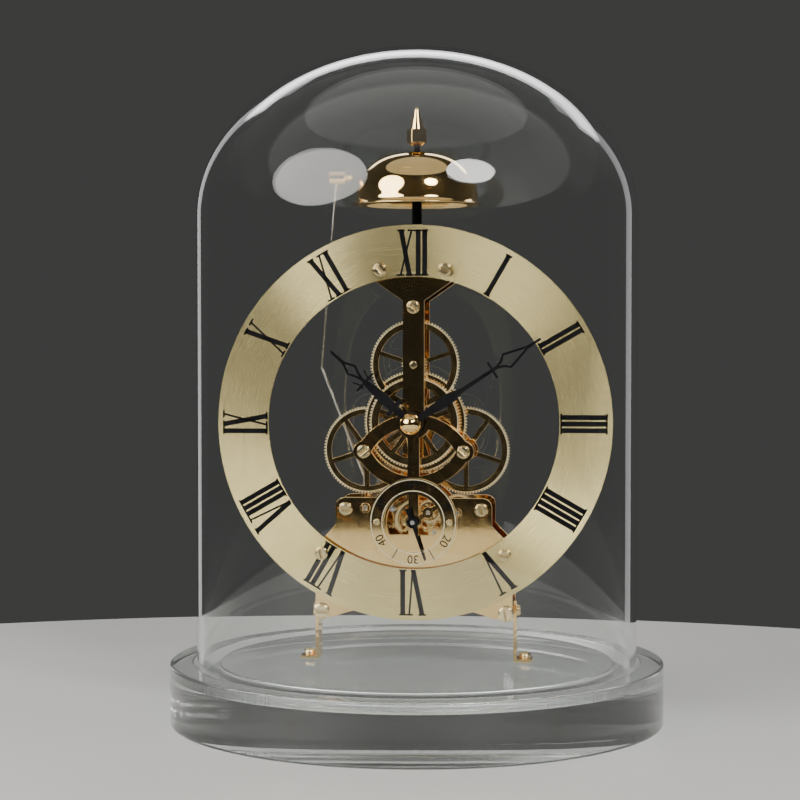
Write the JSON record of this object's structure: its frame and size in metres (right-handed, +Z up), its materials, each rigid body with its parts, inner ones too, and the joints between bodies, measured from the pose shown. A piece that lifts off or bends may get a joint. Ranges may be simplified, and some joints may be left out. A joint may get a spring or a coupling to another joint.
{
  "type": "skeleton clock",
  "caption": "Skeleton clock with an open wheel train between two plates, chapter ring, seconds dial and top bell, on a round clear base under a glass dome.",
  "frame": {"origin": "centre of the base's underside", "axes": "+Z up, the dial faces -Y, +X to the right seen from the front"},
  "size_m": [0.2, 0.2, 0.272],
  "materials": {
    "clear_acrylic": "polished clear acrylic",
    "clear_glass": "clear glass",
    "polished_gold": "mirror polished gold plate",
    "wheel_gold": "satin gold with polished edges",
    "satin_champagne": "circular brushed champagne gold",
    "screw_steel": "polished pale gold plated steel",
    "arbor_steel": "polished steel",
    "blued_steel": "blued steel",
    "black_lacquer": "black lacquer"
  },
  "bodies": {
    "frame": {"base": "clear_acrylic", "front_plate": "polished_gold", "back_plate": "polished_gold", "pillars": "polished_gold", "legs": "polished_gold", "front_screws": "screw_steel", "back_screws": "screw_steel", "leg_screws": "screw_steel", "chapter_ring": "satin_champagne", "ring_spacers": "polished_gold", "seconds_dial": "polished_gold", "seconds_screws": "screw_steel", "studs": "arbor_steel", "idler_stud": "arbor_steel", "hairspring": "blued_steel", "balance_cock": "polished_gold", "click_spring": "arbor_steel", "hammer_spring": "arbor_steel", "bell_post": "black_lacquer", "bell": "polished_gold", "finial": "polished_gold"},
    "dome": {"glass_dome": "clear_glass"},
    "minute": {"cannon_pinion": "wheel_gold", "minute_hand": "black_lacquer", "hand_nut": "polished_gold"},
    "hour": {"hour_wheel": "wheel_gold", "hour_hand": "black_lacquer"},
    "motion": {"minute_wheel": "wheel_gold", "minute_arbor": "screw_steel"},
    "centre": {"centre_wheel": "wheel_gold", "centre_arbor": "arbor_steel", "lifting_cam": "arbor_steel"},
    "left": {"left_wheel": "wheel_gold"},
    "third": {"third_wheel": "wheel_gold", "third_pinion": "arbor_steel"},
    "fourth": {"fourth_wheel": "wheel_gold", "fourth_arbor": "arbor_steel"},
    "idler": {"idler_wheel": "wheel_gold"},
    "seconds": {"seconds_wheel": "wheel_gold", "seconds_arbor": "arbor_steel", "seconds_hand": "black_lacquer"},
    "escape": {"escape_wheel": "wheel_gold", "escape_arbor": "arbor_steel"},
    "pallets": {"pallet_lever": "arbor_steel"},
    "balance": {"balance_wheel": "wheel_gold", "balance_staff": "arbor_steel"},
    "power": {"power_wheel": "wheel_gold", "power_arbor": "arbor_steel"},
    "going_barrel": {"barrel": "wheel_gold", "barrel_cover": "wheel_gold", "mainspring": "arbor_steel"},
    "winder": {"barrel_arbor": "arbor_steel", "ratchet_wheel": "arbor_steel"},
    "click": {"click": "arbor_steel"},
    "hammer": {"hammer_arbor": "arbor_steel", "hammer_tail": "arbor_steel", "hammer_collet": "wheel_gold", "hammer_wire": "arbor_steel", "hammer_head": "polished_gold"}
  },
  "joints": [
    {"name": "dome_lift", "type": "slide", "parent": "frame", "child": "dome", "axis": [0, 0, 1], "range_m": [0, 0.26]},
    {"name": "minute_turn", "type": "hinge", "parent": "frame", "child": "minute", "pos_m": [0, 0, 0.1212], "axis": [0, 1, 0], "continuous": true},
    {"name": "hour_turn", "type": "hinge", "parent": "frame", "child": "hour", "pos_m": [0, 0, 0.1212], "axis": [0, 1, 0], "continuous": true},
    {"name": "motion_turn", "type": "hinge", "parent": "frame", "child": "motion", "pos_m": [0, 0, 0.1444], "axis": [0, 1, 0], "continuous": true},
    {"name": "seconds_turn", "type": "hinge", "parent": "frame", "child": "seconds", "pos_m": [0, 0, 0.0814], "axis": [0, 1, 0], "continuous": true},
    {"name": "idler_turn", "type": "hinge", "parent": "frame", "child": "idler", "pos_m": [0.00588, 0, 0.08524], "axis": [0, 1, 0], "continuous": true},
    {"name": "fourth_turn", "type": "hinge", "parent": "frame", "child": "fourth", "pos_m": [0.01758, 0, 0.08516], "axis": [0, 1, 0], "continuous": true},
    {"name": "third_turn", "type": "hinge", "parent": "frame", "child": "third", "pos_m": [0.02009, 0, 0.1096], "axis": [0, 1, 0], "continuous": true},
    {"name": "centre_turn", "type": "hinge", "parent": "frame", "child": "centre", "pos_m": [0, 0, 0.1212], "axis": [0, 1, 0], "continuous": true},
    {"name": "left_turn", "type": "hinge", "parent": "frame", "child": "left", "pos_m": [-0.02009, 0, 0.1096], "axis": [0, 1, 0], "continuous": true},
    {"name": "power_turn", "type": "hinge", "parent": "frame", "child": "power", "pos_m": [-0.00878, 0, 0.08641], "axis": [0, 1, 0], "continuous": true},
    {"name": "barrel_turn", "type": "hinge", "parent": "frame", "child": "going_barrel", "pos_m": [-0.01311, 0, 0.07026], "axis": [0, 1, 0], "continuous": true},
    {"name": "escape_turn", "type": "hinge", "parent": "frame", "child": "escape", "pos_m": [0.00839, 0, 0.07725], "axis": [0, 1, 0], "continuous": true},
    {"name": "pallet_rock", "type": "hinge", "parent": "frame", "child": "pallets", "pos_m": [0.01275, 0, 0.07103], "axis": [0, 1, 0], "range_deg": [-3, 3]},
    {"name": "balance_swing", "type": "hinge", "parent": "frame", "child": "balance", "pos_m": [0.01906, 0, 0.06202], "axis": [0, 1, 0], "range_deg": [-150, 150], "stiffness_Nm_per_rad": 0.00004},
    {"name": "winding_turn", "type": "hinge", "parent": "frame", "child": "winder", "pos_m": [-0.01311, 0, 0.07026], "axis": [0, 1, 0], "continuous": true},
    {"name": "click_lift", "type": "hinge", "parent": "frame", "child": "click", "pos_m": [-0.00453, 0, 0.07746], "axis": [0, 1, 0], "range_deg": [0, 6], "stiffness_Nm_per_rad": 0.0005, "springref_deg": -5.73},
    {"name": "hammer_lift", "type": "hinge", "parent": "frame", "child": "hammer", "pos_m": [-0.0194, 0, 0.0869], "axis": [0, -1, 0], "range_deg": [-1.35, 12], "stiffness_Nm_per_rad": 0.02}
  ],
  "couplings": [
    {"joint": "hour_turn", "follows": "minute_turn", "ratio": 0.083333},
    {"joint": "motion_turn", "follows": "minute_turn", "ratio": -0.3},
    {"joint": "idler_turn", "follows": "seconds_turn", "ratio": -0.5},
    {"joint": "fourth_turn", "follows": "seconds_turn", "ratio": 0.33333},
    {"joint": "third_turn", "follows": "seconds_turn", "ratio": -0.13333},
    {"joint": "centre_turn", "follows": "seconds_turn", "ratio": 0.016667},
    {"joint": "left_turn", "follows": "seconds_turn", "ratio": -0.0055556},
    {"joint": "power_turn", "follows": "seconds_turn", "ratio": 0.011508},
    {"joint": "barrel_turn", "follows": "seconds_turn", "ratio": -0.0011508},
    {"joint": "escape_turn", "follows": "seconds_turn", "ratio": -8}
  ]
}
